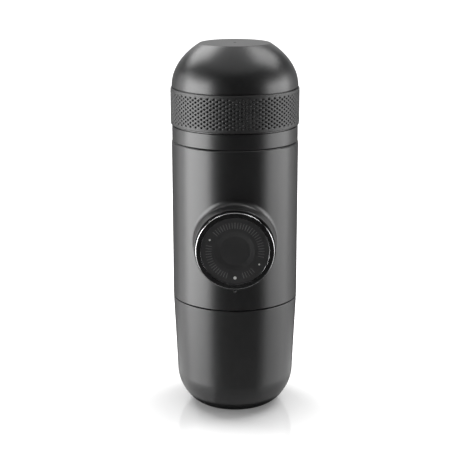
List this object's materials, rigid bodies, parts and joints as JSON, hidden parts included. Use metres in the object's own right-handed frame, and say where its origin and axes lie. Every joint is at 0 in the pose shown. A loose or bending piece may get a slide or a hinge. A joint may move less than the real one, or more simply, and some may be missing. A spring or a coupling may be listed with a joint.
{
  "type": "handheld manual espresso maker",
  "caption": "Capsule-shaped hand-pumped espresso maker: water tank below, body with twist-lock pump button on one side, filter basket and outlet head under a screw-on cup with knurled band.",
  "frame": {"origin": "centre of the tank's flat foot, on the long axis", "axes": "+Z along the long axis from the tank to the cup, -Y out of the pump's button"},
  "size_m": [0.0602, 0.0701, 0.175],
  "materials": {
    "shell_plastic": "fine satin texture, charcoal",
    "grip_plastic": "knurled with small pits, charcoal",
    "collar_plastic": "satin dark grey",
    "inner_plastic": "plain moulded, black",
    "tube_plastic": "milky, translucent",
    "button_plastic": "smooth satin black",
    "white_mark": "printed white",
    "seal_rubber": "silicone, dull black",
    "steel": "drawn and turned stainless",
    "chrome_trim": "bright plated"
  },
  "bodies": {
    "tank": {"water_tank": "shell_plastic"},
    "main_body": {"body_shell": "shell_plastic", "index_mark": "white_mark", "tank_collar": "inner_plastic", "tank_seal": "seal_rubber", "air_valve": "seal_rubber", "suction_tube": "tube_plastic", "tube_strainer": "inner_plastic", "valve_block": "inner_plastic", "block_screws": "steel", "inlet_fitting": "inner_plastic", "outlet_fitting": "inner_plastic", "outlet_spring": "steel", "pump_barrel": "steel", "barrel_seal": "seal_rubber", "return_spring": "steel", "guide_bush": "inner_plastic", "boss_collar": "collar_plastic", "upper_neck": "shell_plastic", "shower_plate": "steel", "shower_screw": "steel", "group_gasket": "seal_rubber"},
    "inlet_ball": {"inlet_ball": "steel"},
    "outlet_ball": {"outlet_ball": "steel"},
    "piston": {"piston_rod": "steel", "piston_head": "inner_plastic", "piston_seals": "seal_rubber", "rod_clip": "steel"},
    "button": {"piston_sleeve": "chrome_trim", "button_flange": "chrome_trim", "button_core": "button_plastic", "button_bezel": "chrome_trim", "button_disc": "button_plastic", "button_dots": "white_mark"},
    "basket": {"filter_basket": "inner_plastic", "filter_screen": "steel", "basket_gasket": "seal_rubber"},
    "outlet": {"outlet_head": "shell_plastic", "nozzle_insert": "button_plastic"},
    "cup": {"cup_shell": "shell_plastic", "grip_band": "grip_plastic"}
  },
  "joints": [
    {"name": "body_lift", "type": "slide", "parent": "tank", "child": "main_body", "axis": [0, 0, 1], "range_m": [0, 0.065]},
    {"name": "inlet_ball_lift", "type": "slide", "parent": "main_body", "child": "inlet_ball", "axis": [0, 0, 1], "range_m": [0, 0.0008]},
    {"name": "outlet_ball_lift", "type": "slide", "parent": "main_body", "child": "outlet_ball", "axis": [0, 0, 1], "range_m": [0, 0.0008], "deforming": ["outlet_spring"]},
    {"name": "pump_stroke", "type": "slide", "parent": "main_body", "child": "piston", "axis": [0, -1, 0], "range_m": [0, 0.035], "deforming": ["return_spring"]},
    {"name": "lock_turn", "type": "hinge", "parent": "piston", "child": "button", "pos_m": [0, -0.037, 0.086], "axis": [0, -1, 0], "range_deg": [0, 48]},
    {"name": "basket_lift", "type": "slide", "parent": "main_body", "child": "basket", "axis": [0, 0, 1], "range_m": [0, 0.03]},
    {"name": "outlet_head_lift", "type": "slide", "parent": "basket", "child": "outlet", "axis": [0, 0, 1], "range_m": [0, 0.03]},
    {"name": "cup_lift", "type": "slide", "parent": "outlet", "child": "cup", "axis": [0, 0, 1], "range_m": [0, 0.05]}
  ]
}
